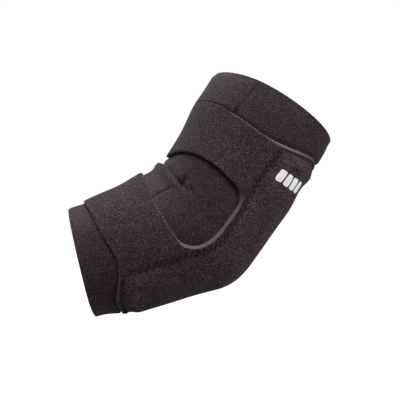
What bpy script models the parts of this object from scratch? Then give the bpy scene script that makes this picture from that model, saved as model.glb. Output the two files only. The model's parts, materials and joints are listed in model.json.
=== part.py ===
"""Elbow support sleeve with a padded back panel and two wrap straps.

Units are metres and degrees, +Z is up. The arm lies in the XZ plane and the elbow bends about Y.
The forearm half lies almost level and points to -X, the upper arm half rises towards +X, and the
crook of the elbow faces up and to -X. The straps close on the +Y (medial) side. The origin is the
middle of the footprint, on the surface the forearm's back rests on.

Every layer of fabric is laid out on one surface, the outside of the inner sleeve, with two
coordinates: s, the distance along a limb from the elbow (negative up the upper arm, positive down
the forearm), and theta, the angle round the limb (0 on the crook's line, +90 at the lateral side,
180 at the back, -90 at the medial side).
"""

import math

import bmesh
import bpy
import numpy as np
from mathutils import Matrix, Vector

for old in list(bpy.data.objects):
    bpy.data.objects.remove(old, do_unlink=True)

# Place of the elbow's centre above the middle of the footprint.
ELBOW = Vector((-0.0128, 0.0, 0.0519))

# The two limbs: rise of each axis above the horizontal, and its length from the elbow.
UPPER_RISE = 43.9
FOREARM_RISE = 5.9
UPPER_LENGTH = 0.1078
FOREARM_LENGTH = 0.0864

# Half depths (crook to back) and half widths (side to side) of the inner sleeve's outside.
UPPER_RIM_DEPTH = 0.0499
UPPER_RIM_WIDTH = 0.0460
FOREARM_RIM_DEPTH = 0.0395
FOREARM_RIM_WIDTH = 0.0400
ELBOW_FRONT_DEPTH = 0.0506
ELBOW_BACK_DEPTH = 0.0455
ELBOW_WIDTH = 0.0450
UPPER_RIM_TILT = 1.7
FOREARM_RIM_TILT = -3.2

# Share of each limb's length over which the bend is rounded, at the crook and at the back.
CROOK_ROUNDING = 0.062
BACK_ROUNDING = 0.13

# Fabric, padding and thread.
GAP = 0.0003
SLEEVE_THICKNESS = 0.0030
OVERLAY_THICKNESS = 0.0025
PATCH_THICKNESS = 0.0008
TAB_THICKNESS = 0.0012
PAD_EDGE = 0.0012
PAD_CROWN = 0.0038
PAD_FALL = 0.65
THREAD_RADIUS = 0.00035

# Inner sleeve: its two seams, and the rigid cuffs' ends towards the elbow.
SEAM_AT_RIM = 60.0
SEAM_AT_ELBOW = 50.0
SEAM_HALF_WIDTH = 1.5
SEAM_GAP = 0.45
UPPER_CUFF_END = -0.052
FOREARM_CUFF_END = 0.036
RIM_ALLOWANCE = 0.003

# Panel over the back of the elbow: cut edge, stitching, and the foam's outline inside it.
PANEL_EDGE = 104.3
PANEL_STITCH = 107.8
PANEL_RISE = 109.8
PAD_SIDE = 114.5
END_STITCH = 0.003
END_RISE = 0.005
PAD_END = 0.013
STITCH_STEP = 0.0034
STITCH_SWING = 0.0012

# Edges of the straps and the panel, as distances along the limb, and how far they move round it.
TOP_EDGE, TOP_SIDE_DROP, TOP_BACK_DROP = -0.0730, 0.003, 0.0145
BOTTOM_EDGE, BOTTOM_CROOK_DROP, BOTTOM_BACK_DROP = 0.0620, 0.0086, 0.010

# The window's edges on the two straps, their curve over the crook and their rounded corners.
UPPER_WINDOW, UPPER_WINDOW_CURVE, UPPER_WINDOW_CORNER, UPPER_CORNER_START = -0.0370, 0.017, 0.010, 92
LOWER_WINDOW, LOWER_WINDOW_CURVE, LOWER_WINDOW_CORNER, LOWER_CORNER_START = 0.0194, 0.0075, 0.012, 90

# Strap ends on the medial side.
STRAP_END = -58.0
TAB_START = -58.4
TAB_TIP = -97.0
PATCH_START = -61.0
PATCH_TIP = -93.0
UPPER_TAB = (-0.0755, -0.0545)
LOWER_TAB = (0.0375, 0.0640)
TAB_CORNER = 0.006
PATCH_MARGIN = 0.002

# Lifts of the layers in a closed strap end, from the sleeve outwards.
LOOP_LIFT = GAP
HOOK_LIFT = LOOP_LIFT + PATCH_THICKNESS + GAP
TAB_LIFT = HOOK_LIFT + PATCH_THICKNESS + GAP
PEEL_LIFT = TAB_LIFT + TAB_THICKNESS + GAP


def turned(direction, degrees):
    """A direction in the XZ plane, turned anticlockwise as seen from the -Y side."""
    c, s = math.cos(math.radians(degrees)), math.sin(math.radians(degrees))
    return np.array([c * direction[0] - s * direction[2], 0.0, s * direction[0] + c * direction[2]])


SIDE = np.array([0.0, 1.0, 0.0])
UPPER_AXIS = turned(np.array([1.0, 0.0, 0.0]), UPPER_RISE)
FOREARM_AXIS = turned(np.array([-1.0, 0.0, 0.0]), FOREARM_RISE)
CROOK = (UPPER_AXIS + FOREARM_AXIS) / np.linalg.norm(UPPER_AXIS + FOREARM_AXIS)
UPPER_FRONT = turned(UPPER_AXIS, 90.0 + UPPER_RIM_TILT)
FOREARM_FRONT = turned(FOREARM_AXIS, -90.0 + FOREARM_RIM_TILT)


def smooth(x):
    x = np.clip(x, 0, 1)
    return x * x * (3 - 2 * x)


def fillet(angle, start, stop):
    """Quarter-round rise from 0 to 1 between two angles."""
    x = np.clip((angle - start) / (stop - start), 0, 1)
    return 1 - np.sqrt(np.maximum(0, 1 - x * x))


def limb_share(s):
    """Distance from the elbow as a share of the limb's length."""
    return np.abs(np.where(s < 0, s / UPPER_LENGTH, s / FOREARM_LENGTH))


def ring(centre, front, depth, width, theta):
    """Points of an elliptical cross section."""
    a = np.radians(theta)[..., None]
    return centre + depth * np.cos(a) * front - width * np.sin(a) * SIDE


def sleeve_point(s, theta):
    """Points of the inner sleeve's outside, measured from the elbow's centre."""
    s, theta = np.broadcast_arrays(np.asarray(s, float), np.asarray(theta, float))
    upper = ring(UPPER_AXIS * UPPER_LENGTH, UPPER_FRONT, UPPER_RIM_DEPTH, UPPER_RIM_WIDTH, theta)
    lower = ring(FOREARM_AXIS * FOREARM_LENGTH, FOREARM_FRONT, FOREARM_RIM_DEPTH, FOREARM_RIM_WIDTH, theta)
    shift = CROOK * (ELBOW_FRONT_DEPTH - ELBOW_BACK_DEPTH) / 2
    middle = ring(shift, CROOK, (ELBOW_FRONT_DEPTH + ELBOW_BACK_DEPTH) / 2, ELBOW_WIDTH, theta)
    t = np.where(s < 0, s / UPPER_LENGTH, s / FOREARM_LENGTH)[..., None]
    backness = (1 - np.cos(np.radians(theta)))[..., None] / 2
    reach = CROOK_ROUNDING + (BACK_ROUNDING - CROOK_ROUNDING) * backness
    straight = np.where(t < 0, middle - (upper - middle) * t, middle + (lower - middle) * t)
    q = np.clip((t + reach) / (2 * reach), 0, 1)
    first, last = middle + (upper - middle) * reach, middle + (lower - middle) * reach
    rounded = (1 - q) ** 2 * first + 2 * q * (1 - q) * middle + q**2 * last
    return np.where(np.abs(t) < reach, rounded, straight)


def lifted(s, theta, lift=0.0):
    """Sleeve points moved outwards, square to the surface."""
    ds, da = 0.0002, 0.2
    along = sleeve_point(s + ds, theta) - sleeve_point(s - ds, theta)
    around = sleeve_point(s, theta + da) - sleeve_point(s, theta - da)
    normal = np.cross(along, around)
    normal /= np.linalg.norm(normal, axis=-1, keepdims=True)
    return sleeve_point(s, theta) + normal * (np.zeros(normal.shape[:-1]) + lift)[..., None]


def seam_angle(s):
    return SEAM_AT_ELBOW + (SEAM_AT_RIM - SEAM_AT_ELBOW) * np.minimum(limb_share(s), 1)


def overlay_top(theta):
    """Edge of the straps and the panel towards the upper cuff."""
    a = np.minimum(np.abs(theta), 360 - np.abs(theta))
    return TOP_EDGE - TOP_SIDE_DROP * smooth(a / 50) - TOP_BACK_DROP * smooth((a - 80) / 75)


def overlay_bottom(theta):
    """Edge of the straps and the panel towards the forearm cuff."""
    a = np.minimum(np.abs(theta), 360 - np.abs(theta))
    crook = np.maximum(0, 90 - a) / 86
    return BOTTOM_EDGE + BOTTOM_CROOK_DROP * crook + BOTTOM_BACK_DROP * smooth((a - 90) / 50)


def narrowing(theta):
    """0 over the front of the arm, rising to 1 where a strap meets its tab."""
    return smooth((-theta - 12) / (-STRAP_END - 12))


def window_curve(theta):
    """0 at the sides of the arm, rising to 1 over the crook."""
    return np.clip((80 - np.abs(theta)) / 66, 0, 1) ** 2


def upper_window(theta):
    """Edge of the upper strap towards the elbow."""
    corner = UPPER_WINDOW_CORNER * fillet(np.abs(theta), UPPER_CORNER_START, PANEL_EDGE)
    edge = UPPER_WINDOW + UPPER_WINDOW_CURVE * window_curve(theta) + corner
    return edge + (UPPER_TAB[1] - edge) * narrowing(theta)


def lower_window(theta):
    """Edge of the lower strap towards the elbow."""
    corner = LOWER_WINDOW_CORNER * fillet(np.abs(theta), LOWER_CORNER_START, PANEL_EDGE)
    edge = LOWER_WINDOW - LOWER_WINDOW_CURVE * window_curve(theta) - corner
    return edge + (LOWER_TAB[0] - edge) * narrowing(theta)


def pad_thickness(s, theta):
    """The foam is thickest over the point of the elbow, falls off along each limb and tapers to its sides."""
    across = np.cos(np.radians(np.clip((theta - 180) / (180 - PAD_SIDE), -1, 1) * 90)) ** 2
    return PAD_EDGE + (PAD_CROWN - PAD_EDGE) * across * (1 - PAD_FALL * limb_share(s))


def panel_lift(s, theta):
    """Height of the panel's underside: on the sleeve at its sewn edge, over the foam inside it."""
    side = smooth((180 - PANEL_RISE - np.abs(theta - 180)) / (PAD_SIDE - PANEL_RISE))
    top = smooth((s - overlay_top(theta) - END_RISE) / (PAD_END - END_RISE))
    bottom = smooth((overlay_bottom(theta) - END_RISE - s) / (PAD_END - END_RISE))
    return GAP + (pad_thickness(s, theta) + GAP) * side * top * bottom


def material(name, colour, roughness):
    made = bpy.data.materials.new(name)
    made.use_nodes = True
    shader = made.node_tree.nodes["Principled BSDF"]
    shader.inputs["Base Color"].default_value = (*colour, 1.0)
    shader.inputs["Roughness"].default_value = roughness
    shader.inputs["Metallic"].default_value = 0.0
    return made


def body_frame(name, place, parent=None):
    """An empty on a joint's axis that carries the pieces of one rigid body."""
    empty = bpy.data.objects.new(name, None)
    bpy.context.scene.collection.objects.link(empty)
    empty.location = place - (parent["place"] if parent else Vector((0, 0, 0)))
    if parent:
        empty.parent = parent["empty"]
    return {"empty": empty, "place": place}


def add_piece(name, data, body, finish):
    obj = bpy.data.objects.new(name, data)
    bpy.context.scene.collection.objects.link(obj)
    obj.parent = body["empty"]
    obj.data.materials.append(finish)
    return obj


def about(points, body):
    """Points measured from the elbow's centre, as points about a body's frame."""
    return points + np.array(ELBOW - body["place"])


def grid(points, body):
    """A mesh of quads over a two-way array of points, facing away from the arm."""
    bm = bmesh.new()
    corners = [[bm.verts.new(p) for p in row] for row in about(points, body)]
    for low, high in zip(corners, corners[1:]):
        for a, b, c, d in zip(low, low[1:], high[1:], high):
            bm.faces.new((a, d, c, b))
    return bm


def finished(bm, name):
    mesh = bpy.data.meshes.new(name)
    bm.to_mesh(mesh)
    bm.free()
    mesh.shade_smooth()
    mesh.set_sharp_from_angle(angle=math.radians(40))
    return mesh


def sheet(name, s, theta, lift, thickness, body, finish):
    """A layer of fabric: its underside follows the surface at lift, and Solidify gives it body."""
    bm = grid(lifted(s, theta, lift), body)
    obj = add_piece(name, finished(bm, name), body, finish)
    solid = obj.modifiers.new("Thickness", "SOLIDIFY")
    solid.thickness = thickness
    solid.offset = 1.0
    solid.use_even_offset = True
    return obj


def spread(low, high, step, lip=1.2):
    """Even steps with a narrow first and last one, so that the cut edges stand square."""
    count = max(1, round((high - low - 2 * lip) / step))
    return np.concatenate([[low], np.linspace(low + lip, high - lip, count + 1), [high]])


def arm_rows(low, high, first=3, last=2):
    """Steps along the arm: long on the straight limbs, short round the bend."""
    bend = np.array([-0.024, -0.015, -0.009, -0.0045, 0, 0.0045, 0.009, 0.014, 0.021])
    low, high = np.broadcast_arrays(np.asarray(low, float), np.asarray(high, float))
    before = [low + (bend[0] - low) * k / first for k in range(first)]
    after = [bend[-1] + (high - bend[-1]) * k / last for k in range(1, last + 1)]
    return np.stack(before + [b + 0 * low for b in bend] + after)


def across(low, high, rows):
    """Rows spaced evenly between two edges that vary round the limb."""
    share = np.linspace(0, 1, rows)[:, None]
    return low[None, :] + (high - low)[None, :] * share


def sleeve_panel(name, rows, side, body):
    """A sewn panel of the inner sleeve, from seam to seam over the front or round the back."""
    rows = np.asarray(rows)[:, None]
    if side == "front":
        half = seam_angle(rows) - SEAM_HALF_WIDTH - SEAM_GAP
        share = spread(-1, 1, 0.145, 0.02)[None, :]
        theta = half * share
    else:
        half = 180 - seam_angle(rows) - SEAM_HALF_WIDTH - SEAM_GAP
        share = spread(-1, 1, 0.066, 0.01)[None, :]
        theta = 180 + half * share
    return sheet(name, rows + 0 * theta, theta, -SLEEVE_THICKNESS, SLEEVE_THICKNESS, body, NEOPRENE)


def trim(name, centre, outward, body):
    """A cutter past a cuff's rim that leaves the rim flat; outward is the rim's normal."""
    bm = bmesh.new()
    bmesh.ops.create_cube(bm, size=1.0, matrix=Matrix.Diagonal((0.16, 0.16, 0.04, 1.0)))
    mesh = bpy.data.meshes.new(name)
    bm.to_mesh(mesh)
    bm.free()
    cutter = bpy.data.objects.new(name, mesh)
    bpy.context.scene.collection.objects.link(cutter)
    cutter.parent = body["empty"]
    cutter.rotation_euler = Vector(outward).to_track_quat("Z", "Y").to_euler()
    cutter.location = Vector(about(centre + 0.02 * outward, body))
    cutter.hide_render = True
    cutter.display_type = "WIRE"
    return cutter


def cut_flat(obj, cutter):
    cut = obj.modifiers.new("Flat rim", "BOOLEAN")
    cut.operation = "DIFFERENCE"
    cut.solver = "EXACT"
    cut.object = cutter


def seam(name, sign, body):
    """The band of thread that joins the sleeve's panels edge to edge, in the groove between them."""
    rows = arm_rows(-UPPER_LENGTH + 0.001, FOREARM_LENGTH - 0.001, 4, 3)[:, None]
    theta = sign * (seam_angle(rows) + sign * SEAM_HALF_WIDTH * np.array([[-1, 1]]))
    return sheet(name, rows + 0 * theta, theta, -SLEEVE_THICKNESS, SLEEVE_THICKNESS, body, THREAD)


def foam(name, body):
    """The foam under the panel: its underside lies on the sleeve and its top is crowned."""
    theta = spread(PAD_SIDE, 360 - PAD_SIDE, 10)
    s = arm_rows(overlay_top(theta) + PAD_END, overlay_bottom(theta) - PAD_END)
    theta = theta + 0 * s
    bm = grid(lifted(s, theta, GAP), body)
    rise = bm.verts.layers.float_vector.new("rise")
    top = about(lifted(s, theta, GAP + pad_thickness(s, theta)), body)
    for vert, point in zip(bm.verts, top.reshape(-1, 3)):
        vert[rise] = Vector(point) - vert.co
    made = bmesh.ops.extrude_face_region(bm, geom=bm.faces[:], use_keep_orig=True)
    for item in made["geom"]:
        if isinstance(item, bmesh.types.BMVert):
            item.co += item[rise]
    bm.verts.layers.float_vector.remove(rise)
    bmesh.ops.recalc_face_normals(bm, faces=bm.faces)
    return add_piece(name, finished(bm, name), body, FOAM)


def thread(name, points, body):
    """A closed loop of sewing thread."""
    curve = bpy.data.curves.new(name, "CURVE")
    curve.dimensions = "3D"
    curve.bevel_depth = THREAD_RADIUS
    curve.bevel_resolution = 0
    line = curve.splines.new("POLY")
    line.points.add(len(points) - 1)
    for knot, place in zip(line.points, about(points, body)):
        knot.co = (*place, 1.0)
    line.use_cyclic_u = True
    return add_piece(name, curve, body, THREAD)


def zigzag(path, lift):
    """A zigzag of thread along a closed path of (s, theta) corners; lift is its height there."""
    line = []
    for (s0, a0), (s1, a1) in zip(path, path[1:] + path[:1]):
        ends = sleeve_point(np.array([s0, s1]), np.array([a0, a1]))
        count = max(1, round(np.linalg.norm(ends[1] - ends[0]) / STITCH_STEP))
        line += [(s0 + (s1 - s0) * k / count, a0 + (a1 - a0) * k / count) for k in range(count)]
    if len(line) % 2:
        line.pop()
    s, theta = np.array(line).T
    points = lifted(s, theta, lift(s, theta))
    ahead = np.roll(points, -1, axis=0) - np.roll(points, 1, axis=0)
    out = lifted(s, theta, 0.001) - lifted(s, theta, 0.0)
    swing = np.cross(ahead, out)
    swing /= np.linalg.norm(swing, axis=1, keepdims=True)
    return points + swing * STITCH_SWING * np.where(np.arange(len(points)) % 2, 1, -1)[:, None]


def panel_path():
    """The panel's stitching: down the lateral side, round the forearm end, up and back round."""
    ends = np.linspace(PANEL_STITCH + 2, 358 - PANEL_STITCH, 24)
    top = [(float(overlay_top(a)) + END_STITCH, a) for a in ends]
    bottom = [(float(overlay_bottom(a)) - END_STITCH, a) for a in ends]
    first = float(overlay_top(PANEL_STITCH)) + END_STITCH + 0.002
    last = float(overlay_bottom(PANEL_STITCH)) - END_STITCH - 0.002
    sides = np.linspace(first, last, 12)
    lateral = [(s, PANEL_STITCH) for s in sides]
    medial = [(s, 360 - PANEL_STITCH) for s in sides[::-1]]
    return lateral + bottom + medial + top[::-1]


def tab_edges(theta, span, tip, margin=0.0):
    """Edges of a strap tab, a patch on it, or its stitching, rounded at the tip."""
    corner = TAB_CORNER * fillet(-theta, -tip - 8, -tip)
    return span[0] + margin + corner, span[1] - margin - corner


def tab_sheet(name, span, start, tip, margin, lift, thickness, body, finish):
    theta = np.concatenate([spread(tip, start, 7.0, 0.8), tip + np.array([1.8, 3.5, 5.5])])
    theta = np.sort(theta)[::-1]
    low, high = tab_edges(theta, span, tip, margin)
    s = across(low, high, 4)
    theta = theta + 0 * s
    return sheet(name, s[:, ::-1], theta[:, ::-1], lift, thickness, body, finish)


def tab_stitching(name, span, body):
    """The thread that holds the hook patch, seen on the tab's outside."""
    margin = PATCH_MARGIN + 0.0015
    low, high = span[0] + margin, span[1] - margin
    start, tip = PATCH_START - 2.5, PATCH_TIP + 4.0
    middle = (start + tip) / 2
    path = [(low, start), (low, middle), (low, tip), (high, tip), (high, middle), (high, start)]
    lift = TAB_LIFT + TAB_THICKNESS + GAP + THREAD_RADIUS
    return thread(name, zigzag(path, lambda s, theta: lift + 0 * s), body)


def strap(name, low, high, body):
    """A strap from the panel's lateral edge over the front of the arm to its tab."""
    corner = np.array([92.0, 94.5, 97.0, 98.8, 100.2])
    theta = np.concatenate([spread(STRAP_END, 90.0, 8)[:-2], [90.0], corner, [PANEL_EDGE - 0.4]])
    s = across(low(theta), high(theta), 6)
    return sheet(name, s, theta + 0 * s, GAP, OVERLAY_THICKNESS, body, NEOPRENE)


def back_panel(name, body):
    """The panel sewn over the back of the elbow, with the foam in its pocket."""
    inner = np.linspace(PAD_SIDE, 360 - PAD_SIDE, 15)[1:-1]
    side = np.array([PANEL_EDGE, PANEL_EDGE + 1.2, PANEL_RISE, PANEL_RISE + 2.5, PAD_SIDE])
    theta = np.concatenate([side, inner, 360 - side[::-1]])
    top, bottom = overlay_top(theta), overlay_bottom(theta)
    pocket = arm_rows(top + PAD_END, bottom - PAD_END)
    rim = np.array([0, END_RISE, (END_RISE + PAD_END) / 2])[:, None]
    s = np.concatenate([top + rim, pocket, (bottom - rim)[::-1]])
    theta = theta + 0 * s
    return sheet(name, s, theta, panel_lift(s, theta), OVERLAY_THICKNESS, body, NEOPRENE)


def peel_axis(span):
    """Middle of a tab's root on the outside of the strap, where the tab folds back."""
    return Vector(lifted(np.array(sum(span) / 2), np.array(STRAP_END), PEEL_LIFT)) + ELBOW


NEOPRENE = material("neoprene", (0.040, 0.033, 0.035), 0.85)
FOAM = material("foam", (0.16, 0.145, 0.15), 0.9)
THREAD = material("thread", (0.022, 0.019, 0.020), 0.7)
LOOP = material("loop_fabric", (0.030, 0.026, 0.028), 0.95)
HOOK = material("hook_tape", (0.020, 0.019, 0.020), 0.5)
TAB = material("strap_tab", (0.032, 0.028, 0.030), 0.8)

upper_arm = body_frame("upper_arm_frame", ELBOW)
forearm = body_frame("forearm_frame", ELBOW, upper_arm)
upper_tab = body_frame("upper_tab_frame", peel_axis(UPPER_TAB), upper_arm)
lower_tab = body_frame("lower_tab_frame", peel_axis(LOWER_TAB), forearm)

upper_trim = trim("upper_rim_trim", UPPER_AXIS * UPPER_LENGTH, turned(UPPER_FRONT, -90), upper_arm)
forearm_trim = trim("forearm_rim_trim", FOREARM_AXIS * FOREARM_LENGTH, turned(FOREARM_FRONT, 90), forearm)

upper_rows = np.linspace(-UPPER_LENGTH - RIM_ALLOWANCE, UPPER_CUFF_END, 4)
elbow_rows = arm_rows(UPPER_CUFF_END + GAP, FOREARM_CUFF_END - GAP, 2, 1)
forearm_rows = np.linspace(FOREARM_CUFF_END, FOREARM_LENGTH + RIM_ALLOWANCE, 4)
for side in ("front", "back"):
    cut_flat(sleeve_panel(f"upper_sleeve_{side}", upper_rows, side, upper_arm), upper_trim)
    sleeve_panel(f"elbow_sleeve_{side}", elbow_rows, side, upper_arm)
    cut_flat(sleeve_panel(f"forearm_sleeve_{side}", forearm_rows, side, forearm), forearm_trim)
seam("lateral_seam", 1, upper_arm)
seam("medial_seam", -1, upper_arm)

foam("foam_pad", upper_arm)
back_panel("back_panel", upper_arm)
over_panel = OVERLAY_THICKNESS + GAP + THREAD_RADIUS
thread("panel_stitching", zigzag(panel_path(), lambda s, a: panel_lift(s, a) + over_panel), upper_arm)

strap("upper_strap", overlay_top, upper_window, upper_arm)
strap("lower_strap", lower_window, overlay_bottom, forearm)
tabs = (("upper", UPPER_TAB, upper_arm, upper_tab), ("lower", LOWER_TAB, forearm, lower_tab))
for place, span, limb, tab in tabs:
    tab_sheet(f"{place}_loop_patch", span, TAB_START - 0.4, TAB_TIP - 2, 0.0,
              LOOP_LIFT, PATCH_THICKNESS, limb, LOOP)
    tab_sheet(f"{place}_hook_patch", span, PATCH_START, PATCH_TIP, PATCH_MARGIN,
              HOOK_LIFT, PATCH_THICKNESS, tab, HOOK)
    tab_sheet(f"{place}_strap_tab", span, TAB_START, TAB_TIP, 0.0, TAB_LIFT, TAB_THICKNESS, tab, TAB)
    tab_stitching(f"{place}_tab_stitching", span, tab)
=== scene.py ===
"""Looks of the padded elbow support sleeve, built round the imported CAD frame.

Fabric is laid out on one surface, the outside of the inner sleeve: s runs along a limb from the elbow
(negative up the upper arm, positive down the forearm, metres) and theta runs round it in degrees
(0 on the crook's line, +90 lateral, 180 back, -90 medial).
"""
import json
import math

import bpy
import numpy as np
from mathutils import Matrix, Vector


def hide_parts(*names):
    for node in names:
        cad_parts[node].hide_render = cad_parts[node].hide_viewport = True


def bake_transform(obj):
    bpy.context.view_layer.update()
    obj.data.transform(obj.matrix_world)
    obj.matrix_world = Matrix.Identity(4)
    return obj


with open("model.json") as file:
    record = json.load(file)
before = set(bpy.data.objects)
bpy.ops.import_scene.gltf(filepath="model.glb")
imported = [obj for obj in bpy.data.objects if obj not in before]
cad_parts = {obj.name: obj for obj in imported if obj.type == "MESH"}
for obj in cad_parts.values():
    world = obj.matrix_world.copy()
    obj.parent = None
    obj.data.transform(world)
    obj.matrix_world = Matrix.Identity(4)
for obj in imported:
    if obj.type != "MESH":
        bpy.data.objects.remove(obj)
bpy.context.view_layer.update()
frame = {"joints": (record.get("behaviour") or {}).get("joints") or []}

# ---------------------------------------------------------------- dimensions, as in the CAD part
UPPER_RISE, FOREARM_RISE = 43.9, 5.9
UPPER_LENGTH, FOREARM_LENGTH = 0.1078, 0.0864
UPPER_RIM_DEPTH, UPPER_RIM_WIDTH = 0.0499, 0.0460
FOREARM_RIM_DEPTH, FOREARM_RIM_WIDTH = 0.0395, 0.0400
ELBOW_FRONT_DEPTH, ELBOW_BACK_DEPTH, ELBOW_WIDTH = 0.0506, 0.0455, 0.0450
UPPER_RIM_TILT, FOREARM_RIM_TILT = 1.7, -3.2
CROOK_ROUNDING, BACK_ROUNDING = 0.062, 0.13
GAP = 0.0003
SLEEVE_THICKNESS, OVERLAY_THICKNESS = 0.0030, 0.0025
PATCH_THICKNESS, TAB_THICKNESS = 0.0008, 0.0012
PAD_EDGE, PAD_CROWN, PAD_FALL = 0.0012, 0.0038, 0.65
PANEL_EDGE, PANEL_STITCH, PAD_SIDE = 104.3, 107.8, 114.5
END_STITCH, PAD_END = 0.003, 0.013
TOP_EDGE, TOP_SIDE_DROP, TOP_BACK_DROP = -0.0730, 0.003, 0.0145
BOTTOM_EDGE, BOTTOM_CROOK_DROP, BOTTOM_BACK_DROP = 0.0620, 0.0086, 0.010
UPPER_WINDOW, UPPER_WINDOW_CURVE, UPPER_WINDOW_CORNER, UPPER_CORNER_START = -0.0370, 0.017, 0.010, 92
LOWER_WINDOW, LOWER_WINDOW_CURVE, LOWER_WINDOW_CORNER, LOWER_CORNER_START = 0.0194, 0.0075, 0.012, 90
STRAP_END = -58.0
UPPER_TAB, LOWER_TAB = (-0.0755, -0.0545), (0.0375, 0.0640)
SIDE = np.array([0.0, 1.0, 0.0])

# ---------------------------------------------------------------- dimensions of the looks
# Millimetres of fabric for one degree round the arm, for laying out edges and weave.
MM_PER_DEGREE = 0.82
M_PER_DEGREE = MM_PER_DEGREE / 1000

# The panel's zigzag: one whole zigzag, half its width along the sides and ends, and how far it sinks in.
STITCH_PITCH_MM, SIDE_SWING_MM, END_SWING_MM, STITCH_SINK = 4.1, 2.3, 1.2, 0.0004
PANEL_THREAD_RADIUS, TAB_THREAD_RADIUS, SEAM_THREAD_RADIUS = 0.00031, 0.00026, 0.00015
SEAM_HALF_WIDTH = 1.45
TAB_STITCH_PITCH_MM, TAB_STITCH_SWING_MM, TAB_STITCH_MARGIN = 2.6, 0.8, 0.0030
TAB_STITCH_NEAR, TAB_STITCH_FAR = -53.0, -91.0
TAB_OVERLAP, TAB_TIP = -50.0, -97.0
LOOP_ROOT, LOOP_TIP, HOOK_ROOT, HOOK_TIP, HOOK_MARGIN = -58.8, -99.0, -61.0, -93.0, 0.002

# The printed row: blocks, their spacing and half width in degrees, and the row's height and slope.
PRINT_BLOCKS, PRINT_FIRST, PRINT_SPACING, PRINT_HALF_WIDTH = 4, 118.8, 8.4, 3.3
PRINT_MIDDLE, PRINT_HALF_HEIGHT, PRINT_SLOPE, PRINT_START = -0.0630, 0.0042, 0.00017, 115.5

joints = {j["name"]: j for j in frame["joints"]}
ELBOW = np.array(joints["elbow_flexion"]["pos_m"])


def turned(direction, degrees):
    c, s = math.cos(math.radians(degrees)), math.sin(math.radians(degrees))
    return np.array([c * direction[0] - s * direction[2], 0.0, s * direction[0] + c * direction[2]])


UPPER_AXIS = turned(np.array([1.0, 0.0, 0.0]), UPPER_RISE)
FOREARM_AXIS = turned(np.array([-1.0, 0.0, 0.0]), FOREARM_RISE)
CROOK = (UPPER_AXIS + FOREARM_AXIS) / np.linalg.norm(UPPER_AXIS + FOREARM_AXIS)
UPPER_FRONT = turned(UPPER_AXIS, 90.0 + UPPER_RIM_TILT)
FOREARM_FRONT = turned(FOREARM_AXIS, -90.0 + FOREARM_RIM_TILT)


# ---------------------------------------------------------------- the shared surface
def smooth(x):
    x = np.clip(x, 0, 1)
    return x * x * (3 - 2 * x)


def bump(x, width):
    return np.exp(-((x / width) ** 2))


def fillet(angle, start, stop):
    x = np.clip((angle - start) / (stop - start), 0, 1)
    return 1 - np.sqrt(np.maximum(0, 1 - x * x))


def limb_share(s):
    return np.abs(np.where(s < 0, s / UPPER_LENGTH, s / FOREARM_LENGTH))


def from_front(theta):
    """Angle from the crook's line, 0 to 180, the same on both sides."""
    return np.abs((theta + 180) % 360 - 180)


def ring(centre, front, depth, width, theta):
    a = np.radians(theta)[..., None]
    return centre + depth * np.cos(a) * front - width * np.sin(a) * SIDE


def sleeve_point(s, theta):
    s, theta = np.broadcast_arrays(np.asarray(s, float), np.asarray(theta, float))
    upper = ring(UPPER_AXIS * UPPER_LENGTH, UPPER_FRONT, UPPER_RIM_DEPTH, UPPER_RIM_WIDTH, theta)
    wrist = FOREARM_AXIS * FOREARM_LENGTH
    lower = ring(wrist, FOREARM_FRONT, FOREARM_RIM_DEPTH, FOREARM_RIM_WIDTH, theta)
    shift = CROOK * (ELBOW_FRONT_DEPTH - ELBOW_BACK_DEPTH) / 2
    middle = ring(shift, CROOK, (ELBOW_FRONT_DEPTH + ELBOW_BACK_DEPTH) / 2, ELBOW_WIDTH, theta)
    t = np.where(s < 0, s / UPPER_LENGTH, s / FOREARM_LENGTH)[..., None]
    backness = (1 - np.cos(np.radians(theta)))[..., None] / 2
    reach = CROOK_ROUNDING + (BACK_ROUNDING - CROOK_ROUNDING) * backness
    straight = np.where(t < 0, middle - (upper - middle) * t, middle + (lower - middle) * t)
    q = np.clip((t + reach) / (2 * reach), 0, 1)
    first, last = middle + (upper - middle) * reach, middle + (lower - middle) * reach
    rounded = (1 - q) ** 2 * first + 2 * q * (1 - q) * middle + q**2 * last
    return ELBOW + np.where(np.abs(t) < reach, rounded, straight)


def surface_normal(s, theta):
    ds, da = 0.0004, 0.3
    along = sleeve_point(s + ds, theta) - sleeve_point(s - ds, theta)
    around = sleeve_point(s, theta + da) - sleeve_point(s, theta - da)
    normal = np.cross(along, around)
    return normal / np.linalg.norm(normal, axis=-1, keepdims=True)


def lifted(s, theta, lift=0.0):
    s, theta = np.broadcast_arrays(np.asarray(s, float), np.asarray(theta, float))
    return sleeve_point(s, theta) + surface_normal(s, theta) * (np.zeros(s.shape) + lift)[..., None]


def seam_angle(s):
    """The side seams swing towards the crook where the fold pulls them."""
    swing = 2.0 * bump(s + 0.022, 0.018) - 5.0 * bump(s - 0.009, 0.013)
    return 50.0 + 10.0 * np.minimum(limb_share(s), 1) + swing


def overlay_top(theta):
    a = from_front(theta)
    return TOP_EDGE - TOP_SIDE_DROP * smooth(a / 50) - TOP_BACK_DROP * smooth((a - 80) / 75)


def overlay_bottom(theta):
    a = from_front(theta)
    crook = BOTTOM_CROOK_DROP * np.maximum(0, 90 - a) / 86
    return BOTTOM_EDGE + crook + BOTTOM_BACK_DROP * smooth((a - 90) / 50)


def narrowing(theta):
    return smooth((-theta - 12) / (-STRAP_END - 12))


def window_curve(theta):
    """How far the straps' inner edges curve together towards the crook, 0 to 1."""
    return np.clip((80 - np.abs(theta)) / 66, 0, 1) ** 2


def upper_window(theta):
    corner = UPPER_WINDOW_CORNER * fillet(np.abs(theta), UPPER_CORNER_START, PANEL_EDGE)
    edge = UPPER_WINDOW + UPPER_WINDOW_CURVE * window_curve(theta) + corner
    return edge + (UPPER_TAB[1] - edge) * narrowing(theta)


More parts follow.
